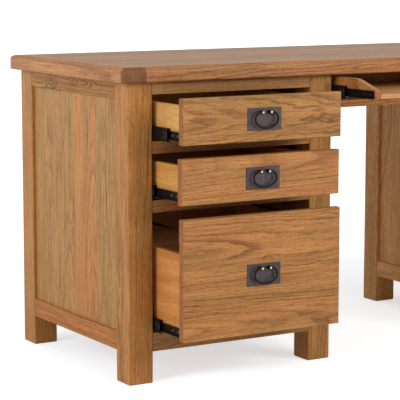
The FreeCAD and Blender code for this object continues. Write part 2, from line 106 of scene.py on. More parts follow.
def add(tree, kind, inputs=(), output=0, stops=(), **settings):
    """Adds a shader node and returns one of its outputs. An input that is a socket is linked, else set."""
    node = tree.nodes.new("ShaderNode" + kind)
    for key, value in settings.items():
        setattr(node, key, value)
    for key, value in inputs.items() if isinstance(inputs, dict) else enumerate(inputs):
        if isinstance(value, bpy.types.NodeSocket):
            tree.links.new(value, node.inputs[key])
        else:
            node.inputs[key].default_value = value
    for index, (place, value) in enumerate(stops):
        if index > 1:
            node.color_ramp.elements.new(place)
        stop = node.color_ramp.elements[index]
        stop.position = place
        stop.color = value if isinstance(value, tuple) else (value, value, value, 1)
    return node.outputs[output] if node.outputs else node


def seen_directly(tree):
    """1 for what the camera, a reflection or clear glass sees, and 0 for the light that falls on things."""
    path = add(tree, "LightPath").node.outputs
    direct = add(tree, "Math", [path["Is Camera Ray"], path["Is Glossy Ray"]], operation="MAXIMUM")
    return add(tree, "Math", [direct, path["Is Transmission Ray"]], operation="MAXIMUM")


def set_room():
    """A white room to the eye, with a lower even light on the object."""
    world = bpy.data.worlds.new("white_room")
    bpy.context.scene.world = world
    world.use_nodes = True
    tree = world.node_tree
    tree.nodes.clear()
    light = add(tree, "Background", {"Color": colour("#FFFFFF"), "Strength": ROOM_LIGHT})
    backdrop = add(tree, "Background", {"Color": colour("#FFFFFF"), "Strength": 1.0})
    add(tree, "OutputWorld", [add(tree, "MixShader", [seen_directly(tree), light, backdrop])])


def new_material(name):
    """An empty material, and its object coordinates in millimetres."""
    material = bpy.data.materials.new(name)
    material.use_nodes = True
    tree = material.node_tree
    tree.nodes.clear()
    metres = add(tree, "TexCoord", output="Object")
    return material, tree, add(tree, "VectorMath", {0: metres, "Scale": 1 / MM}, operation="SCALE")


def set_floor():
    """A pale matt floor. The eye sees it lifted to white with the desk's soft shadow on it."""
    material, tree, place = new_material("pale_matt_floor")
    seen = seen_directly(tree)
    distance = add(tree, "VectorMath", [place], output="Value", operation="LENGTH")
    near, far = (metres / MM for metres in GLOW_FROM_TO)
    glow = add(tree, "MapRange", [distance, near, far, *FLOOR_GLOW])
    glow = add(tree, "Math", [glow, seen], operation="MULTIPLY")
    shade = add(tree, "Mix", {0: seen, 6: colour(FLOOR_LIT), 7: colour(FLOOR_SEEN)}, output=2,
                data_type="RGBA")
    inputs = {"Base Color": shade, "Roughness": FLOOR_ROUGHNESS, "Specular IOR Level": 0.0,
              "Emission Color": colour(FLOOR_GLOW_TINT), "Emission Strength": glow}
    add(tree, "OutputMaterial", [add(tree, "BsdfPrincipled", inputs)])
    bm = bmesh.new()
    bmesh.ops.create_grid(bm, x_segments=1, y_segments=1, size=FLOOR_SIZE / 2)
    mesh = bpy.data.meshes.new("floor")
    bm.to_mesh(mesh)
    bm.free()
    mesh.materials.append(material)
    floor = bpy.data.objects.new("floor", mesh)
    bpy.context.scene.collection.objects.link(floor)


# Wood


def tones(*codes):
    """A wood's tones, from one kind of board to another."""
    return [(0.25 * (step + 1), colour(code)) for step, code in enumerate(codes)]


# Rustic oak under clear satin lacquer: honey and olive-tan to pinkish boards with dark growth-ring lines.
# Rings are drawn about three times as wide as real ones so that they show.
OAK = {
    "tones": tones("#B78546", "#C3884A", "#C9874C"),
    "line": colour("#8F735B"),
    "fibre": colour("#DACAB8"),
    "pore": colour("#CDBAA6"),
    "end": colour("#E6D4C8"),
    "end_from_to": (0.6, 0.9),
    "knot": colour("#6B4228"),
    "ring": 6.8,
    "line_share": 1.0,
    "spread": 0.4,
    "wander": 24.0,
    "depth": (30.0, 75.0),
    "roughness": (0.42, 0.56),
    "gloss": 0.3,
}
CALM_OAK = dict(OAK, line_share=0.8)
TRAY_OAK = dict(OAK, end_from_to=(0.75, 0.95))
TOP_OAK = dict(OAK, tones=tones("#A47A3F", "#B48046", "#C0834D"), spread=0.7)
END_OAK = dict(OAK, tones=tones("#B38445", "#BE864A", "#C3844D"), end=colour("#BCB7C3"),
               end_from_to=(0.2, 0.5), gloss=0.2)
LEG_OAK = dict(OAK, tones=tones("#B18448", "#BC874A", "#C2874C"), line_share=0.68, gloss=0.15)
RAIL_OAK = dict(OAK, tones=tones("#B58243", "#C18547", "#C68247"), line=colour("#6B472E"), ring=9.0,
                gloss=0.1)
PANEL_OAK = dict(OAK, tones=tones("#BA8E51", "#C58C52", "#CB8B4D"), line_share=0.65, spread=0.7,
                 gloss=0.15)

# Painted light: paler oak for the right pedestal and the rail under the tray, whose seen sides get little
# light, so that their paleness stands in for the light they lack; and the same with a fuller gloss for the
# tray's board, whose paleness stands in for the light on it and the highlight along its front edge
PAINTED_LIGHT_OAK = dict(OAK, tones=tones("#E4B270", "#E8AC6B", "#E3A465"), line_share=0.75, gloss=0.15)
GLOSSY_PAINTED_LIGHT_OAK = dict(PAINTED_LIGHT_OAK, gloss=0.5, roughness=(0.28, 0.38))

# Lacquered softwood: pale straw to orange, with soft wide rings
PALE_WOOD = {
    "tones": tones("#DFB370", "#DCAC67", "#D09450"),
    "line": colour("#D4B088"),
    "fibre": colour("#EBDCC6"),
    "pore": colour("#E6D6BE"),
    "end": colour("#D8C4AC"),
    "end_from_to": (0.6, 0.9),
    "knot": colour("#8A5A34"),
    "ring": 9.0,
    "line_share": 0.6,
    "spread": 0.4,
    "wander": 14.0,
    "depth": (50.0, 110.0),
    "roughness": (0.42, 0.55),
    "gloss": 0.3,
}
HONEY_WOOD = dict(PALE_WOOD, tones=tones("#D8A25C", "#D0964E", "#C4823E"))
ORANGE_WOOD = dict(PALE_WOOD, tones=tones("#D69A58", "#CF8C4B", "#C67C3C"), spread=0.9, line_share=0.45)
BOX_WOODS = {"drawer_2": HONEY_WOOD, "drawer_3": ORANGE_WOOD}

# Patterns in the wood: length along the grain and width across it in millimetres, and the noise's detail.
# Fibres and pores are drawn about three times as coarse as real ones so that they show.
WANDER = (300.0, 80.0, 1.0)
CURL = (45.0, 12.0, 1.0)
FIBRES = (90.0, 2.2, 3.0)
PORES = (15.0, 1.8, 1.0)
BREAKS = (180.0, 12.0, 2.0)
TONE_STREAKS = (420.0, 26.0, 3.0)
SHADE_STREAKS = (300.0, 17.0, 3.0)

# How each pattern rises: between two levels of its noise, and from one strength to another
FIBRE_RISE = (0.45, 0.72, 0.0, 1.0)
PORE_RISE = (0.55, 0.72, 0.0, 1.0)
BREAK_RISE = (0.35, 0.55, 0.45, 1.0)
TONE_RISE = (0.3, 0.7, -0.25, 0.25)
SHADE_RISE = (0.35, 0.7, 0.0, 0.3)
YEAR_RISE = (0.0, 1.0, 0.3, 1.0)
DECADE_RISE = (0.38, 0.6, 0.25, 1.0)

# Levels of noise between which any of these surfaces goes from its shinier to its duller finish
SHINE_FROM_TO = (0.3, 0.7)

# A year's ring line: a dark band of open pores, then wood that pales and darkens again
RING_PROFILE = [(0.0, 0.35), (0.06, 1.0), (0.26, 0.65), (0.5, 0.12), (0.85, 0.0), (1.0, 0.35)]

# How many rings noise shifts a ring by at most, and the scales of that noise and of the decades' noise
RING_SHIFT = 3.0
SHIFT_SCALE = 0.23
DECADE_SCALE = 0.13

# Lean of a trunk's heart across and through the board, per millimetre along it: the least, and the range
LEAN_LEAST = (0, -0.03, 0.03)
LEAN_RANGE = (0, 0.06, 0.07)

# A knot: where its core fades, in its own sizes from its middle, and how strongly it shows; where its swirl
# fades, in the same way; and how many of its half widths it reaches in depth
KNOT_CORE = (0.3, 1.0)
KNOT_STRENGTH = 0.6
SWIRL_FADE = (2.0, 3.4)
KNOT_DEPTH = 5

# Relief of the surface: its strength, and its depth in millimetres
GRAIN_BUMP = 0.35
GRAIN_BUMP_DEPTH = 0.25

# Boards are counted from a start. A board's number, shifted by these, gives its two sets of chances, and
# its own place in the noise lies within this reach in millimetres.
CHANCE_SHIFTS = (0.31, 7.73)
OWN_REACH = 900.0

# Longer than any board, in millimetres
UNBROKEN = 10000.0

# Where boards lie: their spacing in millimetres each way, 0 where one board fills it, and where one starts
ONE_BOARD = ((0, 0, 0), (0, 0, 0))
END_BOARD_CELLS = ((1000, 0, 0), (-1000, 0, 0))
LEG_CELLS = ((500, 400, 0), (-1085, -400, 0))
SIDE_RAIL_CELLS = ((500, 0, 400), (-1100, 0, 130))
SIDE_PANEL_CELLS = ((500, 121, 0), (-1100, -160, 0))
CROSS_RAIL_CELLS = ((1000, 400, 142), (-1000, -400, 0))
BACK_PANEL_CELLS = ((115, 0, 0), (-1000, 0, 0))
BATTEN_CELLS = ((300, 0, 120), (-1010, 0, -20))
SHELF_CELLS = ((0, 110, 300), (0, -250, -50))
TRAY_SIDE_CELLS = ((500, 0, 0), (-500, 0, 0))


def board_ways(tree, place, middle, axes, cells, crossing):
    """A point's board, its place along, across and through that board, and how far its face is a sawn end."""
    boards, first = cells
    spacing = [width or UNBROKEN for width in boards]
    start = [at if width else centre - UNBROKEN / 2 for at, width, centre in zip(first, boards, middle)]
    from_start = add(tree, "VectorMath", [place, start], operation="SUBTRACT")
    counted = add(tree, "VectorMath", [from_start, spacing], operation="DIVIDE")
    board = add(tree, "VectorMath", [counted], operation="FLOOR")
    centred = add(tree, "VectorMath", [counted], operation="FRACTION")
    centred = add(tree, "VectorMath", [centred, (0.5, 0.5, 0.5)], operation="SUBTRACT")
    centred = add(tree, "VectorMath", [centred, spacing], operation="MULTIPLY")
    ways = add(tree, "SeparateXYZ", [centred]).node.outputs
    normal_ways = add(tree, "SeparateXYZ", [add(tree, "TexCoord", output="Normal")]).node.outputs
    lengthwise = add(tree, "CombineXYZ", [ways[axis] for axis in axes])
    facing_end = normal_ways[axes[0]]
    if crossing:
        axis, middle, half, other_axes = crossing
        fixed_ways = add(tree, "SeparateXYZ", [place]).node.outputs
        within = add(tree, "Math", [fixed_ways[axis], middle, half], operation="COMPARE")
        other = add(tree, "CombineXYZ", [ways[other_axis] for other_axis in other_axes])
        lengthwise = add(tree, "Mix", {0: within, 4: lengthwise, 5: other}, output=1, data_type="VECTOR")
        facing_end = add(tree, "Mix", {0: within, 2: facing_end, 3: normal_ways[other_axes[0]]})
        board = add(tree, "VectorMath", [board, within], operation="ADD")
    return board, lengthwise, facing_end


def trunk_radius(tree, look, lengthwise, chances, streaks, aside, curl):
    """The distance from the trunk's heart, which lies behind the face and leans: so the grain arches."""
    along = add(tree, "SeparateXYZ", [lengthwise]).node.outputs["X"]
    near, far = look["depth"]
    reach = (0, aside[1] - aside[0], far - near)
    centre = add(tree, "VectorMath", [chances[0], reach, (0, aside[0], near)], operation="MULTIPLY_ADD")
    lean = add(tree, "VectorMath", [chances[1], LEAN_RANGE, LEAN_LEAST], operation="MULTIPLY_ADD")
    lean = add(tree, "VectorMath", {0: lean, "Scale": along}, operation="SCALE")
    centre = add(tree, "VectorMath", [centre, lean], operation="ADD")
    bent = lengthwise
    for reach, pattern in ((look["wander"], WANDER), (curl, CURL)):
        wander = streaks(pattern, "Color")
        wander = add(tree, "VectorMath", [wander, (0.5, 0.5, 0.5)], operation="SUBTRACT")
        bent = add(tree, "VectorMath", [wander, (0, reach, reach), bent], operation="MULTIPLY_ADD")
    spoke = add(tree, "VectorMath", [bent, centre], operation="SUBTRACT")
    spoke = add(tree, "VectorMath", [spoke, (0, 1, 1)], operation="MULTIPLY")
    return add(tree, "VectorMath", [spoke], output="Value", operation="LENGTH")


def bend_round_knots(tree, place, axes, radius, knots):
    """Bends the rings round each knot. Also gives where the knots are, and where rings show more strongly."""
    knot_mask = add(tree, "Value")
    swirl_mask = knot_mask
    ways = add(tree, "SeparateXYZ", [place]).node.outputs
    fixed = add(tree, "CombineXYZ", [ways[axis] for axis in axes])
    swirl_near, swirl_far = SWIRL_FADE
    for *knot_place, half_length, half_width, swirl in knots:
        size = (half_length, half_width, KNOT_DEPTH * half_width)
        gap = add(tree, "VectorMath", [fixed, knot_place], operation="SUBTRACT")
        gap = add(tree, "VectorMath", [gap, size], operation="DIVIDE")
        gap = add(tree, "VectorMath", [gap], output="Value", operation="LENGTH")
        bulge = add(tree, "MapRange", [gap, 0.0, swirl_far, swirl * half_width, 0.0],
                    interpolation_type="SMOOTHSTEP")
        radius = add(tree, "Math", [radius, bulge], operation="ADD")
        core = add(tree, "MapRange", [gap, *KNOT_CORE, KNOT_STRENGTH, 0.0], interpolation_type="SMOOTHSTEP")
        knot_mask = add(tree, "Math", [knot_mask, core], operation="MAXIMUM")
        around = add(tree, "MapRange", [gap, swirl_near, swirl_far, min(swirl, 1.0), 0.0])
        swirl_mask = add(tree, "Math", [swirl_mask, around], operation="MAXIMUM")
    return radius, knot_mask, swirl_mask


def ring_lines(tree, look, radius, swirl_mask, streaks):
    """Dark growth-ring lines, stronger in some years and decades than in others and broken here and there."""
    years = add(tree, "Math", [radius, look["ring"]], operation="DIVIDE")
    uneven = add(tree, "TexNoise", {"W": years, "Scale": SHIFT_SCALE, "Detail": 1.0}, noise_dimensions="1D")
    years = add(tree, "Math", [uneven, RING_SHIFT, years], operation="MULTIPLY_ADD")
    year = add(tree, "Math", [years], operation="FLOOR")
    strength = add(tree, "TexWhiteNoise", {"W": year}, noise_dimensions="1D")
    strength = add(tree, "MapRange", [strength, *YEAR_RISE])
    season = add(tree, "Math", [years], operation="FRACT")
    line = add(tree, "ValToRGB", [season], stops=RING_PROFILE)
    decade = add(tree, "TexNoise", {"W": years, "Scale": DECADE_SCALE, "Detail": 2.0}, noise_dimensions="1D")
    decade = add(tree, "MapRange", [decade, *DECADE_RISE])
    broken = add(tree, "MapRange", [streaks(BREAKS), *BREAK_RISE])
    for weakening in (strength, decade, broken):
        kept = add(tree, "Math", [weakening, swirl_mask], operation="MAXIMUM")
        line = add(tree, "Math", [line, kept], operation="MULTIPLY")
    return add(tree, "Math", [line, look["line_share"]], operation="MULTIPLY")


def timber(nodes, name, look, axes, cells=ONE_BOARD, seed=0.0, aside=(-40.0, 40.0), curl=5.0, crossing=None,
           knots=()):
    """Sawn wood on these nodes. Each board's faces cut the growth rings of a trunk of its own.

    axes names the ways along a board, across its face and through it, and cells says where boards lie. aside
    is how far the trunk's heart lies to the side of a board's middle: near it the grain arches, and far from
    it the grain runs straight. curl is the size of the small waves in it. crossing gives an axis, a middle, a
    half width and the axes of the boards that lie there. A knot is its place along, across and through, half
    its length and half its width, and how strongly the grain swirls round it."""
    material, tree, place = new_material(name)
    low, high = corners_mm(nodes[0])
    board, lengthwise, facing_end = board_ways(tree, place, (low + high) / 2, axes, cells, crossing)

    # Chances that differ from board to board
    chances = []
    for shift in CHANCE_SHIFTS:
        numbered = add(tree, "VectorMath", [board, (seed + shift, seed + shift, shift)], operation="ADD")
        chances.append(add(tree, "TexWhiteNoise", [numbered], output="Color"))
    own_place = add(tree, "VectorMath", {0: chances[0], "Scale": OWN_REACH}, operation="SCALE")
    own_place = add(tree, "VectorMath", [lengthwise, own_place], operation="ADD")

    def streaks(pattern, output="Fac"):
        """Noise drawn out along the grain."""
        length, width, detail = pattern
        stretch = (1 / length, 1 / width, 1 / width)
        stretched = add(tree, "VectorMath", [own_place, stretch], operation="MULTIPLY")
        return add(tree, "TexNoise", {"Vector": stretched, "Scale": 1.0, "Detail": detail}, output=output)

    radius = trunk_radius(tree, look, lengthwise, chances, streaks, aside, curl)
    radius, knot_mask, swirl_mask = bend_round_knots(tree, place, axes, radius, knots)
    line = ring_lines(tree, look, radius, swirl_mask, streaks)

    # Tone: boards differ, and broad streaks run along each
    board_tone = add(tree, "SeparateXYZ", [chances[1]]).node.outputs["X"]
    spread = look["spread"] / 2
    board_tone = add(tree, "MapRange", [board_tone, 0.0, 1.0, 0.5 - spread, 0.5 + spread])
    streak_tone = add(tree, "MapRange", [streaks(TONE_STREAKS), *TONE_RISE])
    tone = add(tree, "Math", [board_tone, streak_tone], operation="ADD")
    wood = add(tree, "ValToRGB", [tone], stops=look["tones"])

    # Darker streaks, ring lines, fibres, pores and end grain tint the wood, and knots cover it
    fibres = streaks(FIBRES)
    shade = add(tree, "MapRange", [streaks(SHADE_STREAKS), *SHADE_RISE])
    fibre = add(tree, "MapRange", [fibres, *FIBRE_RISE])
    pore = add(tree, "MapRange", [streaks(PORES), *PORE_RISE])
    end = add(tree, "Math", [facing_end], operation="ABSOLUTE")
    end = add(tree, "MapRange", [end, *look["end_from_to"], 0.0, 1.0])
    for amount, tint in ((shade, "line"), (line, "line"), (fibre, "fibre"), (pore, "pore"), (end, "end")):
        wood = add(tree, "Mix", {0: amount, 6: wood, 7: look[tint]}, output=2, data_type="RGBA",
                   blend_type="MULTIPLY")
    wood = add(tree, "Mix", {0: knot_mask, 6: wood, 7: look["knot"]}, output=2, data_type="RGBA")

    # Satin lacquer, duller where fibres stand up
    roughness = add(tree, "MapRange", [fibres, *SHINE_FROM_TO, *look["roughness"]])
    height = add(tree, "Math", [fibres, line], operation="SUBTRACT")
    bump = {"Strength": GRAIN_BUMP, "Distance": GRAIN_BUMP_DEPTH * MM, "Height": height}
    inputs = {"Base Color": wood, "Roughness": roughness, "Specular IOR Level": look["gloss"],
              "Normal": add(tree, "Bump", bump)}
    add(tree, "OutputMaterial", [add(tree, "BsdfPrincipled", inputs)])
    dress(material, *nodes)


# Metal and plastic


def antique_pewter(name, dark, worn):
    """Cast plates and bails in dark antique pewter, satin and cloudy, paler where it has rubbed; the colours
    given may also carry painted shade.
    """
    cloud_size, grit_size, grit_depth = 9.0, 1.6, 0.15
    material, tree, place = new_material(name)
    cloud = add(tree, "TexNoise", {"Vector": place, "Scale": 1 / cloud_size, "Detail": 4.0})
    grit = add(tree, "TexNoise", {"Vector": place, "Scale": 1 / grit_size, "Detail": 2.0})
    mix = add(tree, "MapRange", [cloud, 0.35, 0.65, 0.0, 1.0])
    tint = add(tree, "Mix", {0: mix, 6: colour(dark), 7: colour(worn)}, output=2, data_type="RGBA")
    roughness = add(tree, "MapRange", [cloud, *SHINE_FROM_TO, 0.42, 0.58])
    normal = add(tree, "Bump", {"Strength": 0.4, "Distance": grit_depth * MM, "Height": grit})
    inputs = {"Base Color": tint, "Metallic": 1.0, "Roughness": roughness, "Normal": normal}
    add(tree, "OutputMaterial", [add(tree, "BsdfPrincipled", inputs)])
    return material


def bright_metal(name, tint, worn, rough):
    """Plated or polished metal: a bright skin whose colour and shine vary a little from place to place."""
    cloud_size, dulling = 6.0, 0.12
    material, tree, place = new_material(name)
    cloud = add(tree, "TexNoise", {"Vector": place, "Scale": 1 / cloud_size, "Detail": 3.0})
    mixed = add(tree, "Mix", {0: cloud, 6: colour(tint), 7: colour(worn)}, output=2, data_type="RGBA")
    roughness = add(tree, "MapRange", [cloud, *SHINE_FROM_TO, rough, rough + dulling])
    inputs = {"Base Color": mixed, "Metallic": 1.0, "Roughness": roughness}
    add(tree, "OutputMaterial", [add(tree, "BsdfPrincipled", inputs)])
    return material


def painted_or_moulded(name, tint, pale, rough, gloss=0.5):
    """Satin paint on steel, or moulded plastic: an even dark skin with a fine orange-peel surface."""
    cloud_size, peel_size, peel_depth, dulling = 30.0, 1.2, 0.05, 0.1
    material, tree, place = new_material(name)
    cloud = add(tree, "TexNoise", {"Vector": place, "Scale": 1 / cloud_size, "Detail": 3.0})
    peel = add(tree, "TexNoise", {"Vector": place, "Scale": 1 / peel_size, "Detail": 1.0})
    mixed = add(tree, "Mix", {0: cloud, 6: colour(tint), 7: colour(pale)}, output=2, data_type="RGBA")
    roughness = add(tree, "MapRange", [cloud, *SHINE_FROM_TO, rough, rough + dulling])
    normal = add(tree, "Bump", {"Strength": 0.2, "Distance": peel_depth * MM, "Height": peel})
    inputs = {"Base Color": mixed, "Roughness": roughness, "Specular IOR Level": gloss, "Normal": normal}
    add(tree, "OutputMaterial", [add(tree, "BsdfPrincipled", inputs)])
    return material


# Finishes of the frame's own pieces


def dress(material, *nodes):
    for node in nodes:
        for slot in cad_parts[node].material_slots:
            slot.material = material


def dress_desktop():
    """A planked field with a small dark knot on its front edge, between two boards across the ends."""
    low, high = corners_mm("desktop_boards")
    plank_count = 7
    # The first plank starts just ahead of the front face, so that the face lies in it
    ahead = 1
    plank_cells = ((0, (high.y - low.y) / plank_count, 0), (0, low.y - ahead, 0))
    dash = (-213.0, low.y, 757.5, 20.0, 1.0, 0.0)
    timber(["desktop_boards"], "oak_planked_top", TOP_OAK, "XYZ", plank_cells, seed=15.0, aside=(-90, 90),
           knots=[dash])
    timber(["desktop_end_boards"], "oak_end_boards", END_OAK, "YXZ", END_BOARD_CELLS, seed=5.0,
           aside=(60, 120))


def dress_carcass():
    """Pedestals and kneehole. Two knots swirl the grain of the upper left side rail."""
    rail_x = corners_mm("left_side_rails")[0].x
    swirls = [(195.6, 725.2, rail_x, 19.0, 8.5, 4.2), (15.4, 731.4, rail_x, 26.0, 5.5, 4.4)]
    # Painted light: the right pedestal's legs, rails and panels take the paler oak, to make up for the little
    # light on its inner side
    woods = {"left": (LEG_OAK, RAIL_OAK, PANEL_OAK, swirls), "right": (PAINTED_LIGHT_OAK, PAINTED_LIGHT_OAK, PAINTED_LIGHT_OAK, [])}
    for side, (legs, rails, panels, knots) in woods.items():
        timber([side + "_legs"], side + "_leg_oak", legs, "ZXY", LEG_CELLS, seed=170.0, aside=(50, 110))
        timber([side + "_side_rails"], side + "_side_rail_oak", rails, "YZX", SIDE_RAIL_CELLS, seed=207.0,
               aside=(25, 70), curl=8.0, knots=knots)
        timber([side + "_side_panels"], side + "_side_panel_oak", panels, "ZYX", SIDE_PANEL_CELLS,
               seed=176.0, aside=(-70, 70))
    timber(["left_cross_rails", "right_cross_rails"], "oak_cross_rails", TOP_OAK, "XZY", CROSS_RAIL_CELLS,
           seed=17.0, aside=(50, 100))
    timber(["back_panels"], "oak_back_panels", OAK, "ZXY", BACK_PANEL_CELLS, seed=20.0)
    # Painted light: the rail under the tray takes the paler oak, to make up for the shade of the tray above
    # it
    timber(["kneehole_rail"], "oak_kneehole_rail", PAINTED_LIGHT_OAK, "XYZ", seed=22.0)
    timber(["kneehole_apron"], "oak_kneehole_apron", OAK, "XZY", seed=23.0)
    timber(["battens"], "pale_wood_battens", PALE_WOOD, "YZX", BATTEN_CELLS, seed=26.0)
    timber(["cupboard_boards"], "pale_wood_shelves", PALE_WOOD, "XYZ", SHELF_CELLS, seed=29.0)


def dress_drawers():
    """Drawer fronts, each a board or a few, and the paler boxes behind them."""
    front_y = corners_mm("drawer_1_front")[0].y
    upper_knot = (-588.5, 692.5, front_y, 9.0, 2.0, 1.0)
    lower_knots = [(-550.8, 313.9, front_y, 11.0, 2.4, 1.0), (-799.5, 403.0, front_y, 5.0, 3.0, 0.5)]
    # Wood, seed, height of a board or 0, place of the heart, size of the small waves, and knots
    fronts = {
        "drawer_1": (OAK, 263.0, 0, (5, 35), 9.0, [upper_knot]),
        "drawer_2": (CALM_OAK, 200.0, 0, (30, 60), 4.0, []),
        "drawer_3": (OAK, 270.0, 200, (5, 45), 6.0, lower_knots),
        "right_drawer": (OAK, 37.0, 0, (-40, 40), 5.0, []),
    }
    # The lowest board of a front starts below it
    below = 92
    # A box's two sides are a board each, and so is what lies this near its back
    beside_box = 50
    side_spacing = 300
    back_depth = 15.0
    for drawer, (look, seed, board, aside, curl, knots) in fronts.items():
        low = corners_mm(drawer + "_front")[0]
        cells = ((0, 0, board), (0, 0, low.z - below))
        timber([drawer + "_front"], drawer + "_front_oak", look, "XZY", cells, seed, aside, curl, knots=knots)
        low, high = corners_mm(drawer + "_box")
        cells = ((side_spacing, 0, 0), (low.x - beside_box, 0, 0))
        timber([drawer + "_box"], drawer + "_box_wood", BOX_WOODS.get(drawer, PALE_WOOD), "YZX", cells, seed,
               crossing=("Y", high.y, back_depth, "XZY"))


def dress_tray():
    """Tray board, and its cheeks with the strip across their back."""
    low, high = corners_mm("tray_sides")
    board = 95
    ahead = 5
    back_depth = 15.0
    cells = ((0, board, 0), (0, low.y - ahead, 0))
    # Painted light: the tray's board takes the paler oak, standing in for the light on it and the highlight
    # along its front edge; its fuller gloss is real
    timber(["tray_board"], "oak_tray_board", GLOSSY_PAINTED_LIGHT_OAK, "XYZ", cells, seed=41.0)
    timber(["tray_sides"], "oak_tray_sides", TRAY_OAK, "YZX", TRAY_SIDE_CELLS, seed=43.0,
           crossing=("Y", high.y, back_depth, "XZY"))


def dress_door():
    """Door stiles with rails between them, and the panel, whose edges are tongues in their grooves."""
    low, high = corners_mm("door_frame")
    inner_low, inner_high = corners_mm("door_panel")
    tongue = 6.0
    panel_board = 112
    beside_panel = 5
    middle = (inner_low.x + inner_high.x) / 2
    half = (inner_high.x - inner_low.x) / 2 - tongue
    # Two cells each way, so that each stile and rail is a board of its own
    spacing = ((high.x - low.x) * 2 / 3, 0, (high.z - low.z) * 2 / 3)
    first = (low.x - spacing[0] / 4, 0, low.z - spacing[2] / 4)
    timber(["door_frame"], "oak_door_frame", OAK, "ZXY", (spacing, first), seed=46.0, aside=(50, 100),
           crossing=("X", middle, half, "XZY"))
    cells = ((panel_board, 0, 0), (inner_low.x - beside_panel, 0, 0))
    timber(["door_panel"], "oak_door_panel", OAK, "ZXY", cells, seed=49.0)


def dress_metalwork():
    """Handles, slides, hinges, desktop fixings and the door's catch."""
    plates = antique_pewter("antique_pewter_plates", "#443B3C", "#524949")
    # Painted shade: the bails and posts are much darker than the plates, standing in for the dark ring of
    # shadow that each bail casts on its plate
    bails = antique_pewter("pewter_bails_painted_shade", "#211B1A", "#2E2725")
    dress(plates, *[handle + "_handle_plate" for handle in HANDLES])
    dress(bails, *[handle + part for handle in HANDLES for part in ("_handle_posts", "_bail")])
    black = painted_or_moulded("satin_black_slides", "#0B0908", "#120F0E", rough=0.42, gloss=0.14)
    dress(black, "cabinet_slides", "file_bars")
    dress(black, *[runner + part for runner in RUNNERS for part in ("_slides", "_middle_slides")])
    brass = bright_metal("satin_brass_hinges", "#B8934F", "#A88446", rough=0.3)
    dress(brass, "cabinet_hinge_leaves", "door_hinge_leaves")
    zinc = bright_metal("zinc_plated_steel", "#B9B8B2", "#A5A59F", rough=0.35)
    dress(zinc, "brackets", "bracket_screws")
    brown = painted_or_moulded("brown_moulded_catch", "#4A382B", "#524031", rough=0.45)
    dress(brown, "door_catch")


# Small parts that the frame leaves out


# Screw heads: radius and height in millimetres
SLIDE_SCREW = (2.6, 1.5)
CABINET_SCREW = (4.0, 0.2)
HINGE_SCREW = (3.0, 0.2)
STRIKE_SCREW = (2.6, 0.5)


def turned(outline, steps):
    """A mesh turned about Z from an outline of (radius, height) in millimetres, closed at its poles."""
    bm = bmesh.new()
    points = [bm.verts.new((radius * MM, 0, height * MM)) for radius, height in outline]
    edges = [bm.edges.new(pair) for pair in zip(points, points[1:])]
    bmesh.ops.spin(bm, geom=points + edges, cent=(0, 0, 0), axis=(0, 0, 1), angle=2 * math.pi, steps=steps,
                   use_merge=True)
    bmesh.ops.remove_doubles(bm, verts=bm.verts, dist=0.001 * MM)
    bmesh.ops.recalc_face_normals(bm, faces=bm.faces)
    return bm


def placed_copies(name, shape, places, body, slot, material, smooth=True):
    """One piece with a copy of a small shape at each place, given as a matrix."""
    pattern = bpy.data.meshes.new(name + "_pattern")
    shape.to_mesh(pattern)
    shape.free()
    whole = bmesh.new()
    for place in places:
        whole.from_mesh(pattern)
        whole.verts.ensure_lookup_table()
        bmesh.ops.transform(whole, matrix=place, verts=whole.verts[-len(pattern.vertices):])
    bmesh.ops.recalc_face_normals(whole, faces=whole.faces)
    mesh = bpy.data.meshes.new(name)
    whole.to_mesh(mesh)
    whole.free()
    bpy.data.meshes.remove(pattern)
    mesh.materials.append(material)
    if smooth:
        mesh.shade_smooth()
    piece = bpy.data.objects.new(name, mesh)
    bpy.context.scene.collection.objects.link(piece)
    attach(piece, body)


def facing(place, direction):
    """A matrix that stands a shape's Z axis along a direction at a place in millimetres."""
    turn = Vector(direction).to_track_quat("Z", "Y").to_matrix().to_4x4()
    return Matrix.Translation(Vector(place) * MM) @ turn


def beside(place, outward):
    """A matrix that lays a shape on an upright side: its X to the front, its Z outwards along X, + or -."""
    front = Vector((0, -1, 0))
    out = Vector((outward, 0, 0))
    turn = Matrix((front, out.cross(front), out)).transposed().to_4x4()
    return Matrix.Translation(Vector(place) * MM) @ turn


def rounded_plate(length, width, thick, corner):
    """A flat plate with rounded corners and softened edges, its back at Z = 0."""
    softening = 0.2 * thick
    bm = bmesh.new()
    size = Matrix.Diagonal((length * MM, width * MM, thick * MM, 1))
    bmesh.ops.create_cube(bm, size=1.0, matrix=Matrix.Translation((0, 0, thick * MM / 2)) @ size)
    upright = [edge for edge in bm.edges
               if abs((edge.verts[0].co - edge.verts[1].co).z) > thick * MM / 2]
    bmesh.ops.bevel(bm, geom=upright, offset=corner * MM, segments=5, profile=0.5, affect="EDGES",
                    material=-1)
    rim = [edge for edge in bm.edges if min(vert.co.z for vert in edge.verts) > thick * MM * 0.9]
    bmesh.ops.bevel(bm, geom=rim, offset=softening * MM, segments=2, profile=0.5, affect="EDGES",
                    material=-1)
    return bm


def stamped_stop():
    """A curved bead pressed outwards in the web of a slide's middle member, bulging to the front."""
    radius, bead, reach = 11.0, 0.7, math.radians(110)
    start = Matrix.Rotation(-reach / 2, 4, "Z") @ Matrix.Translation((radius * MM, 0, 0))
    start = start @ Matrix.Rotation(math.pi / 2, 4, "X")
    bm = bmesh.new()
    bmesh.ops.create_circle(bm, segments=10, radius=bead * MM, matrix=start)
    bmesh.ops.spin(bm, geom=list(bm.verts) + list(bm.edges), cent=(0, 0, 0), axis=(0, 0, 1), angle=reach,
                   steps=14)
    bmesh.ops.holes_fill(bm, edges=[edge for edge in bm.edges if edge.is_boundary])
    return bm


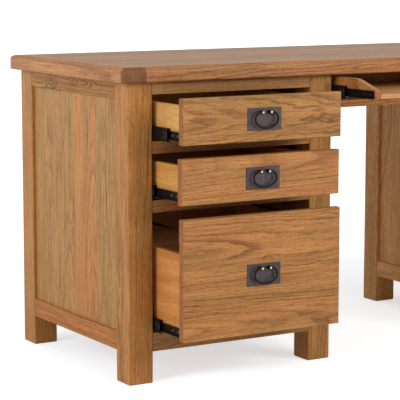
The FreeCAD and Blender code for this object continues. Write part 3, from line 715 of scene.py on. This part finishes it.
def release_lever():
    """The moulded lever that frees a drawer from its slide: a bent tongue with a broader thumb end."""
    half_length, half_width, bend, thick = 24.0, 2.0, 3.0, 3.0
    thumb_widening, softening = 0.8, 0.35
    bm = bmesh.new()
    size = Matrix.Diagonal((half_length * MM, half_width * MM, 1, 1))
    bmesh.ops.create_grid(bm, x_segments=16, y_segments=1, size=1.0, matrix=size)
    for vert in bm.verts:
        share = vert.co.x / (half_length * MM)
        vert.co.y = vert.co.y * (1 + thumb_widening * max(share, 0) ** 4) + bend * MM * share ** 3
    raised = bmesh.ops.extrude_face_region(bm, geom=list(bm.faces))["geom"]
    raised = [part for part in raised if isinstance(part, bmesh.types.BMVert)]
    bmesh.ops.translate(bm, vec=(0, 0, thick * MM), verts=raised)
    bmesh.ops.recalc_face_normals(bm, faces=bm.faces)
    sharp = [edge for edge in bm.edges if edge.calc_face_angle(0) > 1]
    bmesh.ops.bevel(bm, geom=sharp, offset=softening * MM, segments=2, profile=0.5, affect="EDGES",
                    material=-1)
    return bm


def screw_head(radius, height):
    """A screw's head with a cross recess: a pan head, or almost flush where it is low and broad."""
    hub_share, recess_share = 0.2, 0.6
    outline = [(radius, 0), (radius, 0.35 * height), (0.86 * radius, 0.8 * height), (0.58 * radius, height),
               (0.24 * radius, height), (0, height)]
    bm = turned(outline, 16)
    top = [face for face in bm.faces if face.calc_center_median().z > 0.9 * height * MM]
    recess = []
    for face in top:
        middle = face.calc_center_median()
        arm = abs(math.sin(2 * math.atan2(middle.y, middle.x))) < 0.5
        if middle.xy.length < hub_share * radius * MM or arm:
            recess.append(face)
    sunk = bmesh.ops.extrude_face_region(bm, geom=recess)["geom"]
    sunk = [part for part in sunk if isinstance(part, bmesh.types.BMVert)]
    bmesh.ops.translate(bm, vec=(0, 0, -recess_share * height * MM), verts=sunk)
    bmesh.ops.delete(bm, geom=recess, context="FACES_ONLY")
    return bm


def add_handle_studs(polished):
    """Domed bright studs on the front ends of the handle posts."""
    outline = [(2.6, 0), (3.0, 0.3), (3.0, 0.8), (2.6, 1.4), (1.8, 1.9), (0.9, 2.15), (0, 2.2)]
    seat_depth = 1.9
    for handle in HANDLES:
        low, high = corners_mm(handle + "_handle_posts")
        radius = (high.z - low.z) / 2
        height = (low.z + high.z) / 2
        seat = low.y + seat_depth
        places = [facing((x, seat, height), (0, -1, 0)) for x in (low.x + radius, high.x - radius)]
        placed_copies(handle + "_handle_studs", turned(outline, 24), places, handle, "hinge_brass", polished)


def on_both_slides(node, inset, distances):
    """Matrices on the webs of a pair of slide members, at some distances behind their front ends."""
    low, high = corners_mm(node)
    height = (low.z + high.z) / 2
    places = []
    for distance in distances:
        places.append(beside((low.x + inset, low.y + distance, height), -1))
        places.append(beside((high.x - inset, low.y + distance, height), 1))
    return places


def add_slide_hardware(plated, black):
    """Screws, release levers and stamped stops of the slides, which the frame's plain channels leave out."""
    # A drawer member's web lies this far inside its outer side, and a cabinet member's this far outside the
    # middle member
    drawer_web = 6.9
    middle_to_cabinet_web = 1.0
    # Distances behind the front end of a member
    screws = (14, 38, 230)
    levers = (165,)
    stops = (12.2, 24)
    # Where the cabinet members' screws lie from front to back
    cabinet_screws = (-178.0, 30.0, 235.0)
    tray_cabinet_screws = (-195.0, -20.0, 125.0)
    cabinet_places = []
    for runner in RUNNERS:
        slides = runner + "_slides"
        middle = runner + "_middle_slides"
        # The tray's screws are blackened
        slot, metal = ("slide_steel", black) if runner == "tray" else ("zinc_steel", plated)
        places = on_both_slides(slides, drawer_web, screws)
        placed_copies(runner + "_slide_screws", screw_head(*SLIDE_SCREW), places, runner, slot, metal,
                      smooth=False)
        places = on_both_slides(slides, drawer_web, levers)
        placed_copies(runner + "_release_levers", release_lever(), places, runner, "slide_steel", black,
                      smooth=False)
        places = on_both_slides(middle, 0, stops)
        placed_copies(runner + "_slide_stops", stamped_stop(), places, runner + "_middle_members",
                      "slide_steel", black)
        low, high = corners_mm(middle)
        height = (low.z + high.z) / 2
        for y in tray_cabinet_screws if runner == "tray" else cabinet_screws:
            cabinet_places.append(beside((low.x - middle_to_cabinet_web, y, height), 1))
            cabinet_places.append(beside((high.x + middle_to_cabinet_web, y, height), -1))
    # Countersunk, so that the stops pass over them
    placed_copies("cabinet_slide_screws", screw_head(*CABINET_SCREW), cabinet_places, "desk", "zinc_steel",
                  plated, smooth=False)


def add_hinge_screws(brass):
    """Countersunk screws, almost flush, in the two leaves of each hinge."""
    knuckle, leaf_width, leaf_height, half_gap = 6.3, 17.0, 60.0, 0.25
    # Shares of a leaf's height and width
    screw_shares = ((0.17, 0.35), (0.5, 0.65), (0.83, 0.35))
    for node, body, outward in (("cabinet_hinge_leaves", "desk", -1), ("door_hinge_leaves", "door", 1)):
        low, high = corners_mm(node)
        face = (low.x + high.x) / 2 - outward * half_gap
        places = []
        for start in (low.z, high.z - leaf_height):
            for up, back in screw_shares:
                y = low.y + knuckle + leaf_width * back
                places.append(beside((face, y, start + up * leaf_height), outward))
        placed_copies(node.replace("leaves", "screws"), screw_head(*HINGE_SCREW), places, body,
                      "hinge_brass", brass, smooth=False)


def add_catch_parts(plated):
    """The magnetic catch's two steel poles, and its strike plate on the back of the door."""
    pole_up = 2.0
    pole_aside = 7.0
    strike_down = 5.5
    strike_thick = 1.0
    screw_aside = 10.0
    low, high = corners_mm("door_catch")
    door_high = corners_mm("door_frame")[1]
    middle = (low.x + high.x) / 2
    height = low.z + pole_up
    poles = [facing((middle + side, low.y, height), (0, -1, 0)) for side in (-pole_aside, pole_aside)]
    pole = rounded_plate(length=11.0, width=3.0, thick=1.2, corner=0.6)
    placed_copies("door_catch_poles", pole, poles, "desk", "zinc_steel", plated)
    height = door_high.z - strike_down
    strike = [facing((middle, door_high.y, height), (0, 1, 0))]
    plate = rounded_plate(length=32.0, width=10.0, thick=strike_thick, corner=3.0)
    placed_copies("door_strike_plate", plate, strike, "door", "zinc_steel", plated)
    seat = door_high.y + strike_thick
    screws = [facing((middle + side, seat, height), (0, 1, 0)) for side in (-screw_aside, screw_aside)]
    placed_copies("door_strike_screws", screw_head(*STRIKE_SCREW), screws, "door", "zinc_steel", plated,
                  smooth=False)


set_camera()
set_lamps()
set_room()
set_floor()
dress_desktop()
dress_carcass()
dress_drawers()
dress_tray()
dress_door()
dress_metalwork()
add_handle_studs(bright_metal("polished_nickel_studs", "#C9BDA8", "#B9AD97", rough=0.22))
dulled_zinc = bright_metal("zinc_plated_screws", "#9A9995", "#83827E", rough=0.35)
add_slide_hardware(dulled_zinc, painted_or_moulded("worn_black_plastic", "#2B2C2B", "#3A3C3B", rough=0.3))
add_hinge_screws(bright_metal("brass_screws", "#C7A35C", "#B08B49", rough=0.28))
add_catch_parts(dulled_zinc)

bpy.context.scene.view_settings.view_transform = "Standard"
